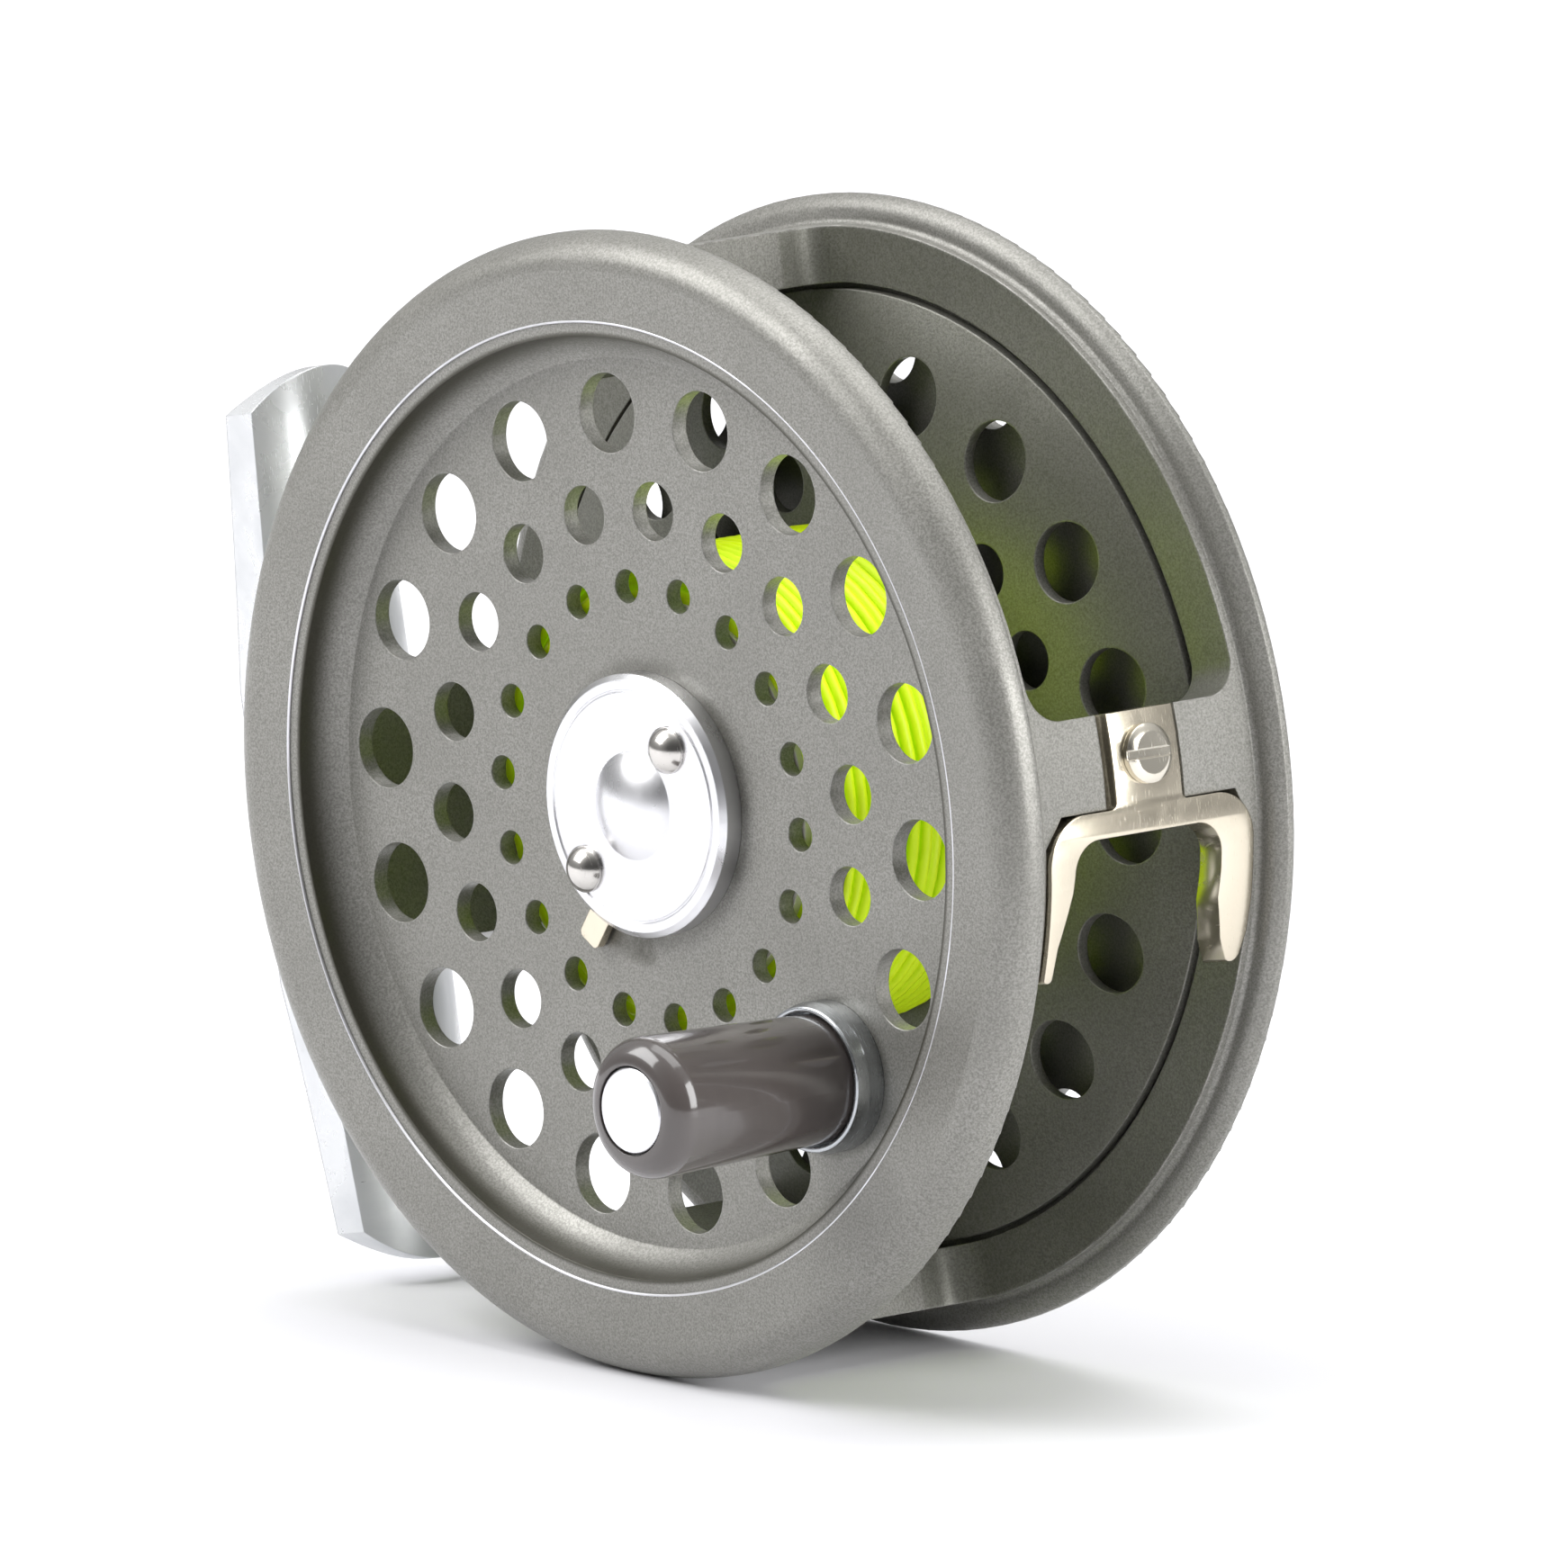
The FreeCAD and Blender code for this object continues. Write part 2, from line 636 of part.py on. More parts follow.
def spool():
    body = turned("spool", [
        ("spoolBore", 0),
        ("faceRadius", 0, "right", 4.0),
        ("lipInner", "-lipHeight + 0.05"),
        ("lipOuter - 0.03", "-lipHeight"),
        ("lipOuter - 0.03", -1.3),
        ("lipOuter + 2.0", -1.3),
        ("lipOuter + 2.0", -0.1),
        ("flangeRadius", -0.1),
        ("flangeRadius", "plateThickness"),
        ("arborRadius", "plateThickness"),
        ("arborRadius", "flangeRoot", "left", "flangeDish"),
        ("flangeRadius", "flangeEdge"),
        ("flangeRadius", "flangeBack", "right", "flangeDish"),
        ("arborBore", "flangeRoot + flangeThickness"),
        ("arborBore", 2.0),
        (5.2, 2.0),
        (5.2, 19.0),
        (6.2, 20.0),
        (6.2, 21.0),
        ("spoolBore", 21.0),
    ])
    phase = "holePhase - 2 * holeStep"
    rings = (
        ("big", "bigRing", phase + " - holeStep", "bigHole", 17),
        ("middle", "middleRing", phase + " - 1.5 * holeStep", "middleHole", 16),
        ("small", "smallRing", phase, "smallHole", 18),
    )
    for name, ring, angle, radius, count in rings:
        sketch = circles(body, name + "_holes", "XZ_Plane", [polar(ring, angle) + (radius,)])
        repeat(body, cut(body, sketch), count, 20 * (count - 1) if count < 18 else 360)
    behind = Placement(Vector(0, 0, -size("flangeBack") - 1), Rotation())
    back = [polar("bigRing", phase) + ("bigHole",)]
    back += [polar("middleRing", "%s %s holeStep / 2" % (phase, sign)) + ("middleHole",) for sign in "+-"]
    cut(body, circles(body, "back_holes", "XZ_Plane", back, behind), 8, backwards=True)
    screws = [polar("gearScrewRing", 120 * turn) + ("gearScrewRadius",) for turn in range(3)]
    rear = Placement(Vector(0, 0, -22), Rotation())
    cut(body, circles(body, "gear_screw_holes", "XZ_Plane", screws, rear), 4, backwards=True)
    pins = [("handleX", "handleZ", "postRadius + 0.01")]
    pins += [(x, z, 1.0) for x, z in coverScrewPlaces()]
    front = Placement(Vector(0, 0, 1), Rotation())
    cut(body, circles(body, "front_holes", "XZ_Plane", pins, front), 2.8)
    node(body, onFrame=False)


def palmingRim():
    body = turned("palming_rim", [
        ("lipOuter", -1.33),
        ("lipOuter", "-lipHeight - 0.2"),
        ("rimRadius - 2.9", "-lipHeight - 0.2", "left", 2.9),
        ("rimRadius", "-lipHeight + 2.7"),
        ("rimRadius", -0.5, "left", 0.4),
        ("rimRadius - 0.4", -0.1),
        ("lipOuter + 2.03", -0.1),
        ("lipOuter + 2.03", -1.33),
    ])
    node(body, onFrame=False)


def ratchetGear():
    body = turned("ratchet_gear", [
        ("spoolBore + 0.1", 21.02), ("gearRadius", 21.02), ("gearRadius", 22.35), ("spoolBore + 0.1", 22.35)])
    half = 180 / size("gearTeeth")
    gap = [polar("gearRadius - toothDepth", -1.2), polar("gearRadius + 0.4", -half * 0.93),
           polar("gearRadius + 0.4", half * 0.93), polar("gearRadius - toothDepth", 1.2)]
    notch = cut(body, outline(body, "tooth_gap", "XZ_Plane", gap))
    repeat(body, notch, int(size("gearTeeth")))
    screws = [polar("gearScrewRing", 120 * turn) + ("gearScrewRadius",) for turn in range(3)]
    cut(body, circles(body, "gear_holes", "XZ_Plane", screws))
    node(body, onFrame=False)


def gearScrews():
    screws = []
    for turn in range(3):
        body = turned("gear_screw%d" % (turn + 1), [
            (0, 18.6), ("gearScrewRadius", 18.6), ("gearScrewRadius", 22.37),
            (0.95, 22.37), (0.8, 22.7), (0, 22.7)])
        x, z = polar("gearScrewRing", 120 * turn)
        body.Placement = Placement(Vector(size(x), 0, size(z)), Rotation())
        screws.append(body)
    node(group("gear_screws", screws), onFrame=False)


def winding(label, inner, outer):
    body = turned(label, [
        (inner, "plateThickness + 0.15"), (outer, "plateThickness + 0.15"),
        (outer, "flangeRoot - 0.25"), (inner, "flangeRoot - 0.25")])
    node(body, onFrame=False)


def coverScrewPlaces():
    return [polar("pivotReach", "pivotAngle"), polar("lockScrewReach", "lockScrewAngle")]


def latchCover():
    body = turned("latch_cover", [
        (0, -1.25), ("coverRadius - 0.9", -1.25), ("coverRadius - 0.9", -0.02), ("coverRadius", -0.02),
        ("coverRadius", "-coverHeight + 0.45"), ("coverRadius - 0.5", "-coverHeight"),
        (9.4, "-coverHeight"), (9.35, "-coverHeight + 0.12"), (9.2, "-coverHeight + 0.12"),
        (9.15, "-coverHeight"),
        (4.35, "-coverHeight", "right", 7.95), (0, "-coverHeight - 1.3")])
    cut(body, circles(body, "cover_holes", "XZ_Plane", [(x, z, 1.02) for x, z in coverScrewPlaces()]))
    gate = [(7, -1.45), (12, -1.45), (12, 3.4), (7, 3.4)]
    aim = Placement(Vector(), Rotation(Vector(0, 0, 1), size("latchAngle")))
    cut(body, outline(body, "latch_gate", "XZ_Plane", gate, aim), 1.25, backwards=True)
    node(body, onFrame=False)


def coverScrews():
    screws = []
    for number, (x, z) in enumerate(coverScrewPlaces()):
        body = turned("cover_screw%d" % (number + 1), [
            (0, 1.7), (0.98, 1.7), (0.98, "-coverHeight - 0.02"), (1.9, "-coverHeight - 0.02"),
            (1.9, "-coverHeight - 0.25", "right", 2.2), (0, "-coverHeight - 1.35")])
        body.Placement = Placement(Vector(size(x), 0, size(z)), Rotation())
        screws.append(body)
    node(group("cover_screws", screws), onFrame=False)


def latchLever():
    """A flat lever: a pivot eye, a ring round the spindle and a narrow thumb tip."""
    body = newBody("latch_lever")
    pivotX, pivotZ = [size(text) for text in polar("pivotReach", "pivotAngle")]
    tipX, tipZ = [size(text) for text in polar("latchReach", "latchAngle")]
    along = Vector(tipX - pivotX, tipZ - pivotZ, 0)
    length = along.Length
    turn = math.degrees(math.atan2(along.y, along.x))
    place = Placement(Vector(pivotX, pivotZ, 0.25), Rotation(Vector(0, 0, 1), turn))
    half = size("latchWidth") / 2
    ringX = 6.4
    arm = [(0, 2.0, "left", 2.04), (0, -2.0), (2.6, -2.2), (ringX, -4.3, "left", 4.4), (ringX + 4.0, -half),
           (length - 0.5, -half, "left", 0.5), (length, -half + 0.5), (length, half - 0.5, "left", 0.5),
           (length - 0.5, half), (ringX + 4.0, half, "left", 4.4), (ringX, 4.3), (2.6, 2.2)]
    extrude(body, "Pad", outline(body, "lever_outline", "XZ_Plane", arm, place), 0.8)
    holes = [(x, z, 1.04) for x, z in coverScrewPlaces()[:1]] + [(-0.27, 0.21, 2.85)]
    cut(body, circles(body, "lever_holes", "XZ_Plane", holes))
    node(body, onFrame=False)


def latchSpring():
    """A short bent wire behind the lever, drawn as part of a ring."""
    torus = doc.addObject("Part::Torus", "latch_spring")
    torus.Label = "latch_spring"
    torus.Radius1 = 8.9
    torus.Radius2 = 0.28
    torus.Angle3 = 95
    doc.recompute()
    place = Placement(Vector(0, -0.7, 0), Rotation(Vector(1, 0, 0), 90))
    start = Placement(Vector(), Rotation(Vector(0, 0, 1), 85))
    node(torus, onFrame=False, local=place.multiply(start))


def onHandle():
    return Placement(Vector(size("handleX"), 0, size("handleZ")), Rotation())


def handleFerrule():
    body = turned("handle_ferrule", [
        ("postRadius + 0.02", -0.02), (6.1, -0.02), (6.1, -1.6), (5.85, -2.6, "right", 0.28),
        (5.4, -2.6), (5.4, -0.8), ("postRadius + 0.02", -0.8)])
    node(body, onFrame=False, local=onHandle())


def handlePost():
    body = turned("handle_spindle", [
        (0, 2.1), (2.6, 2.1), (2.9, "plateThickness + 0.02"), ("postRadius", "plateThickness + 0.02"),
        ("postRadius", "-knobEnd + 1.2"), ("buttonRadius", "-knobEnd + 1.2"),
        ("buttonRadius", "-knobEnd + 0.15"), ("buttonRadius - 0.15", "-knobEnd"), (0, "-knobEnd")])
    node(body, onFrame=False, local=onHandle())


def handleKnob():
    body = turned("handle_knob", [
        ("knobBore", -1.0), ("knobBaseRadius", -1.0), ("knobRadius", "-knobEnd + 2.1", "right", 2.1),
        ("knobRadius - 2.05", "-knobEnd + 0.02"), ("buttonRadius + 0.15", "-knobEnd + 0.02"),
        ("buttonRadius + 0.15", "-knobEnd + 1.4"), ("knobBore", "-knobEnd + 1.4")])
    node(body, onFrame=False, local=onHandle())


# ---- build, test and write ----

def build():
    fillSheet()
    frame()
    guard()
    guardScrew()
    foot()
    footScrews()
    spindle()
    spindleNut()
    pawlPosts()
    for label, place in zip(("pawl_left", "pawl_right"), pawlPlaces()):
        pawl(label, place)
    checkSpring()
    springStuds()
    regulator()
    bush()
    spool()
    palmingRim()
    ratchetGear()
    gearScrews()
    winding("backing_line", "arborRadius + 0.05", "backingRadius")
    winding("fly_line", "backingRadius + 0.05", "lineRadius")
    latchCover()
    coverScrews()
    latchLever()
    latchSpring()
    handleFerrule()
    handlePost()
    handleKnob()


def test():
    doc.recompute()
    for thing in doc.Objects:
        if "Invalid" in thing.State or "Error" in thing.State:
            raise RuntimeError("%s failed" % thing.Label)
    for thing in nodes:
        if thing.Shape.isNull() or not thing.Shape.isValid():
            raise RuntimeError("%s has no valid shape" % thing.Label)


def write():
    os.makedirs("parts", exist_ok=True)
    for thing in nodes:
        thing.Shape.exportStep("parts/%s.step" % thing.Label)
        box = thing.Shape.BoundBox
        print("%-16s %9.1f mm3  X %6.1f %6.1f  Y %6.1f %6.1f  Z %6.1f %6.1f" % (
            thing.Label, thing.Shape.Volume, box.XMin, box.XMax, box.YMin, box.YMax, box.ZMin, box.ZMax))


build()
test()
write()
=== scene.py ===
import bpy
import bmesh
import json
import math
import random
from mathutils import Matrix, Vector


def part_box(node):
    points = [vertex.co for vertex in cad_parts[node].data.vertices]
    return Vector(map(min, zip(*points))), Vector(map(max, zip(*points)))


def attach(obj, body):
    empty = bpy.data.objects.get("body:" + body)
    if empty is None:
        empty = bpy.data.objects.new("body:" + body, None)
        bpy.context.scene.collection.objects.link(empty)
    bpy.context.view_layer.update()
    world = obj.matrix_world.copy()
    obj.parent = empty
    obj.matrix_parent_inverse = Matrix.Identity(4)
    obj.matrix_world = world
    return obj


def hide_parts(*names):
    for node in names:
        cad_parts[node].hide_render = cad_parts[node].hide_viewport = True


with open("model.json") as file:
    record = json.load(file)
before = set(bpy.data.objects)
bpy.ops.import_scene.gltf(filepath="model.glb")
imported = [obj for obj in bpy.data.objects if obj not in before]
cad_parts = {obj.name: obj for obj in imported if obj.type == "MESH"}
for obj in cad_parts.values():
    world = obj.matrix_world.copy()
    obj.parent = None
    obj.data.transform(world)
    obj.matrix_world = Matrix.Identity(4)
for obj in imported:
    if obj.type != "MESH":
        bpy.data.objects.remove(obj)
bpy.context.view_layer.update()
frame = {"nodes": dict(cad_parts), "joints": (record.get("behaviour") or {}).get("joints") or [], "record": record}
nodes = frame["nodes"]
joints = {joint["name"]: joint for joint in frame["joints"]}
mm = 0.001
white = (1, 1, 1, 1)
axis = Vector(joints["spool_spin"]["pos_m"])  # where the spindle's axis meets the spool's face


def collectionLink(item):
    bpy.context.scene.collection.objects.link(item)
    return item


def pieceFrom(name, mesh, body, slotName, material, *replaced):
    item = collectionLink(bpy.data.objects.new(name, mesh))
    item.data.materials.clear()
    item.data.materials.append(material)
    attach(item, body)
    if replaced:
        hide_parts(*replaced)


def meshPiece(bm, name, body, slotName, material, *replaced):
    for face in bm.faces:
        face.smooth = True
    mesh = bpy.data.meshes.new(name)
    bm.to_mesh(mesh)
    bm.free()
    pieceFrom(name, mesh, body, slotName, material, *replaced)


def add(tree, kind, links=(), **settings):
    node = tree.nodes.new(kind)
    for key, value in settings.items():
        setattr(node, key, value)
    for socket, value in dict(links).items():
        if isinstance(value, bpy.types.NodeSocket):
            tree.links.new(value, node.inputs[socket])
        else:
            node.inputs[socket].default_value = value
    return node


def ramp(tree, value, low, high, start=0.0, end=1.0):
    node = add(tree, "ShaderNodeMapRange", {"Value": value, "From Min": low, "From Max": high,
                                            "To Min": start, "To Max": end})
    node.interpolation_type = "SMOOTHSTEP"
    return node.outputs["Result"]


def math2(tree, operation, a, b=0.0):
    return add(tree, "ShaderNodeMath", {0: a, 1: b}, operation=operation).outputs[0]


def times(tree, a, b):
    return math2(tree, "MULTIPLY", a, b)


# camera, a very long lens from far away

cameraSet = {
    "azimuth": 47.0922,
    "elevation": 10.4791,
    "toRight": 10.567 * mm,
    "toTop": 1.662 * mm,
    "away": 3.130,
    "sensor": 36.0,
    "lens": 904.08,
    "clip": (0.1, 20),
}


def makeCamera(values):
    a, e = math.radians(values["azimuth"]), math.radians(values["elevation"])
    right = Vector((math.cos(a), math.sin(a), 0))
    back = Vector((math.sin(a) * math.cos(e), -math.cos(a) * math.cos(e), math.sin(e)))
    up = back.cross(right)
    data = bpy.data.cameras.new("camera")
    data.sensor_width = values["sensor"]
    data.lens = values["lens"]
    data.clip_start, data.clip_end = values["clip"]
    camera = collectionLink(bpy.data.objects.new("camera", data))
    place = axis + right * values["toRight"] + up * values["toTop"] + back * values["away"]
    turned = Matrix((right, up, back)).transposed().to_4x4()
    camera.matrix_world = Matrix.Translation(place) @ turned
    bpy.context.scene.camera = camera


# pale floor, white surroundings and large soft lights

studioSet = {
    "floorSize": 2.4,
    "floorColor": (0.80, 0.80, 0.825, 1),
    "floorRoughness": 0.6,
    "floorGloss": 0.2,
    "farGlow": 0.3,             # the floor fades into the backdrop
    "farGlowRange": (0.12, 0.7),
    "backdrop": 1.0,            # what the camera sees behind the reel
    "skyHigh": 0.85,            # what lights the reel from above and below
    "skyLow": 0.27,
    "skyRange": (-0.1, 0.9),
    "roomSide": 0.2,            # a darker side of the room, for contrast in the metal
    "roomWay": (0.72, -0.67, 0.18),
    "roomRange": (0.35, 0.95),
    "lights": {                 # place, size, power
        "key": ((-0.35, -0.45, 0.55), (0.5, 0.5), 5.3),
        "fill": ((0.72, 0.2, 0.3), (0.4, 0.5), 5.0),
        "top": ((0.0, 0.1, 0.7), (0.6, 0.6), 3.2),
    },
}


def areaLight(name, place, size, power):
    data = bpy.data.lights.new(name, "AREA")
    data.shape = "RECTANGLE"
    data.size, data.size_y = size
    data.energy = power
    light = collectionLink(bpy.data.objects.new(name, data))
    light.location = place
    light.rotation_euler = (Vector(place) - axis).to_track_quat("Z", "Y").to_euler()


def makeSky(values):
    world = bpy.data.worlds.new("white")
    world.use_nodes = True
    tree = world.node_tree
    way = add(tree, "ShaderNodeTexCoord").outputs["Generated"]
    height = add(tree, "ShaderNodeSeparateXYZ", {0: way}).outputs["Z"]
    gradient = ramp(tree, height, *values["skyRange"], values["skyLow"], values["skyHigh"])
    room = add(tree, "ShaderNodeVectorMath", {0: way, 1: values["roomWay"]},
               operation="DOT_PRODUCT")
    shade = ramp(tree, room.outputs["Value"], *values["roomRange"], 1.0, values["roomSide"])
    seen = add(tree, "ShaderNodeLightPath").outputs["Is Camera Ray"]
    lit = times(tree, gradient, shade)
    # a plain Mix node blends its sockets 2 and 3
    strength = add(tree, "ShaderNodeMix", {0: seen, 2: lit, 3: values["backdrop"]})
    background = tree.nodes["Background"]
    background.inputs["Color"].default_value = white
    tree.links.new(strength.outputs[0], background.inputs["Strength"])
    bpy.context.scene.world = world


def makeFloor(values):
    mesh = bpy.data.meshes.new("floor")
    bm = bmesh.new()
    bmesh.ops.create_grid(bm, x_segments=1, y_segments=1, size=values["floorSize"] / 2)
    bm.to_mesh(mesh)
    bm.free()
    material = bpy.data.materials.new("floorPaper")
    material.use_nodes = True
    tree = material.node_tree
    shader = tree.nodes["Principled BSDF"]
    shader.inputs["Base Color"].default_value = values["floorColor"]
    shader.inputs["Roughness"].default_value = values["floorRoughness"]
    shader.inputs["Specular IOR Level"].default_value = values["floorGloss"]
    shader.inputs["Emission Color"].default_value = white
    place = add(tree, "ShaderNodeTexCoord").outputs["Object"]
    far = add(tree, "ShaderNodeVectorMath", {0: place}, operation="LENGTH").outputs["Value"]
    glow = ramp(tree, far, *values["farGlowRange"], 0.0, values["farGlow"])
    tree.links.new(glow, shader.inputs["Emission Strength"])
    mesh.materials.append(material)
    floor = collectionLink(bpy.data.objects.new("floor", mesh))


def makeStudio(values):
    makeFloor(values)
    makeSky(values)
    bpy.context.scene.view_settings.view_transform = "Standard"
    for name, light in values["lights"].items():
        areaLight(name, *light)


makeCamera(cameraSet)
makeStudio(studioSet)
print("camera and studio done")


# shared shader groups: each puts out masks, values or normals only

def newGroup(name, inputs, outputs):
    group = bpy.data.node_groups.new(name, "ShaderNodeTree")
    for label, kind, value in inputs:
        socket = group.interface.new_socket(label, in_out="INPUT", socket_type=kind)
        if value is not None:
            socket.default_value = value
    for label, kind in outputs:
        group.interface.new_socket(label, in_out="OUTPUT", socket_type=kind)
    start = group.nodes.new("NodeGroupInput")
    end = group.nodes.new("NodeGroupOutput")
    return group, start, end


grainSet = {
    "scale": 4000.0,
    "cloudShare": 0.02,         # the clouds are this much coarser
    "range": (0.3, 0.7),
}


def makeGrain(values):
    group, start, end = newGroup(
        "fineGrain", [("Scale", "NodeSocketFloat", values["scale"])],
        [("Speckle", "NodeSocketFloat"), ("Cloud", "NodeSocketFloat")])
    place = add(group, "ShaderNodeTexCoord").outputs["Object"]
    fine = add(group, "ShaderNodeTexNoise", {"Vector": place, "Scale": start.outputs["Scale"],
                                             "Detail": 2.0, "Roughness": 0.7})
    cloudScale = times(group, start.outputs["Scale"], values["cloudShare"])
    cloud = add(group, "ShaderNodeTexNoise", {"Vector": place, "Scale": cloudScale, "Detail": 3.0})
    group.links.new(ramp(group, fine.outputs["Fac"], *values["range"]), end.inputs["Speckle"])
    group.links.new(ramp(group, cloud.outputs["Fac"], *values["range"]), end.inputs["Cloud"])
    return group


edgeSet = {
    "radius": 0.3 * mm,
    "breakup": 900.0,
    "samples": 6,
    "bendRange": (0.995, 0.80),     # how far the surface turns before it counts as an edge
    "brokenRange": (0.42, 0.62),
}


def makeEdge(values):
    group, start, end = newGroup(
        "roundedEdge", [("Radius", "NodeSocketFloat", values["radius"]),
                        ("Breakup", "NodeSocketFloat", values["breakup"])],
        [("Wear", "NodeSocketFloat"), ("Normal", "NodeSocketVector")])
    soft = add(group, "ShaderNodeBevel", {"Radius": start.outputs["Radius"]},
               samples=values["samples"])
    true = add(group, "ShaderNodeNewGeometry").outputs["Normal"]
    same = add(group, "ShaderNodeVectorMath", {0: soft.outputs[0], 1: true},
               operation="DOT_PRODUCT")
    place = add(group, "ShaderNodeTexCoord").outputs["Object"]
    noise = add(group, "ShaderNodeTexNoise", {"Vector": place, "Scale": start.outputs["Breakup"],
                                              "Detail": 3.0})
    edge = ramp(group, same.outputs["Value"], *values["bendRange"])
    broken = ramp(group, noise.outputs["Fac"], *values["brokenRange"])
    group.links.new(times(group, edge, broken), end.inputs["Wear"])
    group.links.new(soft.outputs[0], end.inputs["Normal"])
    return group


smudgeSet = {
    "scale": 60.0,
    "stretch": (1.0, 14.0, 1.0),    # scratches run long and thin
    "lean": (0.3, 0.7, 0.2),
    "scratchShare": 12.0,
    "smearRange": (0.35, 0.7),
    "scratchRange": (0.62, 0.75),
}


def makeSmudge(values):
    group, start, end = newGroup(
        "handling", [("Scale", "NodeSocketFloat", values["scale"])],
        [("Smear", "NodeSocketFloat"), ("Scratch", "NodeSocketFloat")])
    place = add(group, "ShaderNodeTexCoord").outputs["Object"]
    smear = add(group, "ShaderNodeTexNoise", {"Vector": place, "Scale": start.outputs["Scale"],
                                              "Detail": 5.0, "Roughness": 0.6, "Distortion": 1.2})
    stretched = add(group, "ShaderNodeMapping", {"Vector": place, "Rotation": values["lean"],
                                                 "Scale": values["stretch"]}).outputs[0]
    fineScale = times(group, start.outputs["Scale"], values["scratchShare"])
    hair = add(group, "ShaderNodeTexNoise", {"Vector": stretched, "Scale": fineScale,
                                             "Detail": 2.0})
    group.links.new(ramp(group, smear.outputs["Fac"], *values["smearRange"]), end.inputs["Smear"])
    group.links.new(ramp(group, hair.outputs["Fac"], *values["scratchRange"]),
                    end.inputs["Scratch"])
    return group


# reach from an axis along Y, depth along it, both in mm, and the angle around it in degrees

def makeAround():
    group, start, end = newGroup(
        "aroundAxis", [("Centre", "NodeSocketVector", (0, 0, 0))],
        [("Reach", "NodeSocketFloat"), ("Depth", "NodeSocketFloat"), ("Angle", "NodeSocketFloat")])
    place = add(group, "ShaderNodeTexCoord").outputs["Object"]
    offset = add(group, "ShaderNodeVectorMath", {0: place, 1: start.outputs["Centre"]},
                 operation="SUBTRACT")
    inMm = add(group, "ShaderNodeVectorMath", {0: offset.outputs[0], "Scale": 1 / mm},
               operation="SCALE")
    parts = add(group, "ShaderNodeSeparateXYZ", {0: inMm.outputs[0]})
    squares = [times(group, parts.outputs[one], parts.outputs[one]) for one in ("X", "Z")]
    group.links.new(math2(group, "SQRT", math2(group, "ADD", *squares)), end.inputs["Reach"])
    group.links.new(parts.outputs["Y"], end.inputs["Depth"])
    turn = math2(group, "ARCTAN2", parts.outputs["Z"], parts.outputs["X"])
    group.links.new(times(group, turn, math.degrees(1)), end.inputs["Angle"])
    return group


grainGroup = makeGrain(grainSet)
edgeGroup = makeEdge(edgeSet)
smudgeGroup = makeSmudge(smudgeSet)
aroundGroup = makeAround()
print("shader groups done")


def useGroup(tree, group, links):
    return add(tree, "ShaderNodeGroup", links, node_tree=group)


# a colour Mix node blends its sockets 6 and 7, and gives the colour at output 2

def mix(tree, factor, first, second):
    node = add(tree, "ShaderNodeMix", data_type="RGBA")
    for index, value in ((0, factor), (6, first), (7, second)):
        if isinstance(value, bpy.types.NodeSocket):
            tree.links.new(value, node.inputs[index])
        elif index:
            node.inputs[index].default_value = tuple(value) + (1,) if len(value) == 3 else value
        else:
            node.inputs[index].default_value = value
    return node.outputs[2]


def within(tree, value, low, high, soft):
    rise = ramp(tree, value, low - soft, low)
    fall = ramp(tree, value, high, high + soft, 1.0, 0.0)
    return times(tree, rise, fall)


def newMaterial(name, plain):
    material = bpy.data.materials.new(name)
    material.use_nodes = True
    tree = material.node_tree
    shader = tree.nodes["Principled BSDF"]
    for label, value in plain.items():
        shader.inputs[label].default_value = value
    return material, tree, shader


# satin grey enamel with wear on its edges, grime around the latch gate, and painted shade under the rim's lip,
# below the hub cover, at the ferrule's base and inside the bay; a band is from, to and softness, in mm or degrees

enamelSet = {
    "dark": (0.165, 0.162, 0.145),
    "light": (0.30, 0.295, 0.272),
    "worn": (0.60, 0.59, 0.56),
    "metallic": 0.4,
    "roughness": (0.37, 0.47),
    "coat": 0.12,
    "coatRoughness": 0.35,
    "grainScale": 5200.0,
    "cloud": 0.25,
    "edgeRadius": 0.22 * mm,
    "edgeBreakup": 700.0,
    "edgeWear": 0.5,
    "handlingScale": 45.0,
    "bump": 0.12,
    "bumpHeight": 0.04 * mm,
    # one dark colour for grime at the latch gate and for painted shade under the lip, below the hub cover and at
    # the ferrule's base
    "grimeShadeColor": (0.040, 0.037, 0.024),
    "patchRange": (0.1, 0.8),
    "patchLow": 0.35,
    "faceDepth": (-3.7, 0.1, 0.2),
    # painted shadow in a ring below the hub cover
    "hubBand": (10.3, 10.9, 1.2),
    "hubShade": 0.6,
    "gateBand": (9.0, 12.2, 1.5),
    "gateAngle": (-116.0, -92.0, 8.0),
    # painted shade in a ring at the ferrule's base
    "ferruleBand": (5.0, 6.25, 0.7),
    "ferruleShade": 0.8,
    # painted shade in the recess under the rim's lip, darker with depth
    "lipBand": (34.0, 37.9, 0.4),
    "lipDepth": (-0.4, -2.7),
    "lipShade": 0.92,
    "bayShade": (0.035, 0.038, 0.012),     # painted shade, olive-tinted, inside the bay between the spool and the back plate
    "bayDepth": (20.0, 26.2, 0.5),
    "bayReach": (43.2, 43.5),
    "bayShadeAmount": 0.36,
}


